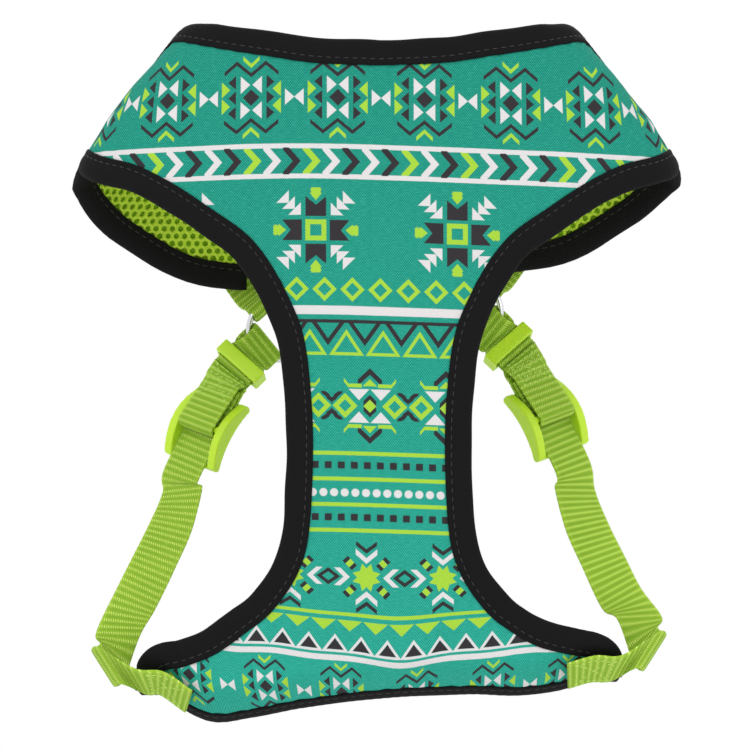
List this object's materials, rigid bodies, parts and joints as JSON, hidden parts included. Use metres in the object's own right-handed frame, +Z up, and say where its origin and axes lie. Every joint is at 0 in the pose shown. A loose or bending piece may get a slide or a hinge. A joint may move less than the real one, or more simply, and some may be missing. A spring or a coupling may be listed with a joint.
{
  "type": "dog harness",
  "caption": "Step-in vest harness for a small dog: printed canvas and mesh vest, bound edges, adjustable belly straps, steel rings and a side-release buckle.",
  "frame": {"origin": "middle of the neck opening, level with the upper front edge's middle", "axes": "+Z up towards the dog's head, -Y out of the chest panel, +Y towards the buckle on the dog's back, +X to the viewer's right"},
  "size_m": [0.2215, 0.0848, 0.2515],
  "materials": {
    "canvas": "teal cotton canvas with a geometric print in lime, white and charcoal",
    "air_mesh": "lime air mesh with open holes",
    "binding_tape": "black folded tape",
    "webbing": "lime ribbed webbing",
    "plastic": "lime moulded plastic, satin",
    "steel": "bright plated wire"
  },
  "bodies": {
    "vest": {"chest_shell": "canvas", "chest_lining": "air_mesh", "neck_binding": "binding_tape", "hem_binding": "binding_tape", "buckle_socket": "plastic", "leg_binding_left": "binding_tape", "band_end_binding_left": "binding_tape", "neck_tab_left": "webbing", "belly_strap_left": "webbing", "strap_return_left": "webbing", "buckle_strap_left": "webbing", "leg_binding_right": "binding_tape", "band_end_binding_right": "binding_tape", "neck_tab_right": "webbing", "belly_strap_right": "webbing", "strap_return_right": "webbing", "buckle_strap_right": "webbing"},
    "ring_left": {"ring_left": "steel"},
    "slider_left": {"slider_left": "plastic"},
    "keeper_left": {"keeper_left": "plastic"},
    "ring_right": {"ring_right": "steel"},
    "slider_right": {"slider_right": "plastic"},
    "keeper_right": {"keeper_right": "plastic"},
    "plug": {"buckle_plug": "plastic"},
    "latch_upper": {"latch_arm_upper": "plastic"},
    "latch_lower": {"latch_arm_lower": "plastic"}
  },
  "joints": [
    {"name": "ring_left_spin", "type": "hinge", "parent": "vest", "child": "ring_left", "pos_m": [-0.037, 0.035, -0.084], "axis": [-0.4172, 0.8963, 0.1501], "continuous": true},
    {"name": "slider_left_slide", "type": "slide", "parent": "vest", "child": "slider_left", "axis": [-0.4519, -0.1807, -0.8736], "range_m": [-0.003, 0.005], "deforming": ["strap_return_left"]},
    {"name": "keeper_left_slide", "type": "slide", "parent": "vest", "child": "keeper_left", "axis": [-0.7015, -0.2126, -0.6802], "range_m": [0, 0.002]},
    {"name": "ring_right_spin", "type": "hinge", "parent": "vest", "child": "ring_right", "pos_m": [0.034, 0.035, -0.0775], "axis": [0.3975, 0.9089, 0.126], "continuous": true},
    {"name": "slider_right_slide", "type": "slide", "parent": "vest", "child": "slider_right", "axis": [0.4519, -0.1807, -0.8736], "range_m": [-0.003, 0.005], "deforming": ["strap_return_right"]},
    {"name": "keeper_right_slide", "type": "slide", "parent": "vest", "child": "keeper_right", "axis": [0.7012, -0.2123, -0.6806], "range_m": [0, 0.002]},
    {"name": "buckle_release", "type": "slide", "parent": "vest", "child": "plug", "axis": [-0.9958, 0, -0.0912], "range_m": [0, 0.013], "deforming": ["buckle_strap_left", "latch_arm_upper", "latch_arm_lower"]},
    {"name": "latch_upper_squeeze", "type": "hinge", "parent": "plug", "child": "latch_upper", "pos_m": [-0.00522, 0.043, -0.07306], "axis": [0, 1, 0], "range_deg": [0, 14], "stiffness_Nm_per_rad": 0.05},
    {"name": "latch_lower_squeeze", "type": "hinge", "parent": "plug", "child": "latch_lower", "pos_m": [-0.00376, 0.043, -0.08899], "axis": [0, -1, 0], "range_deg": [0, 14], "stiffness_Nm_per_rad": 0.05}
  ]
}
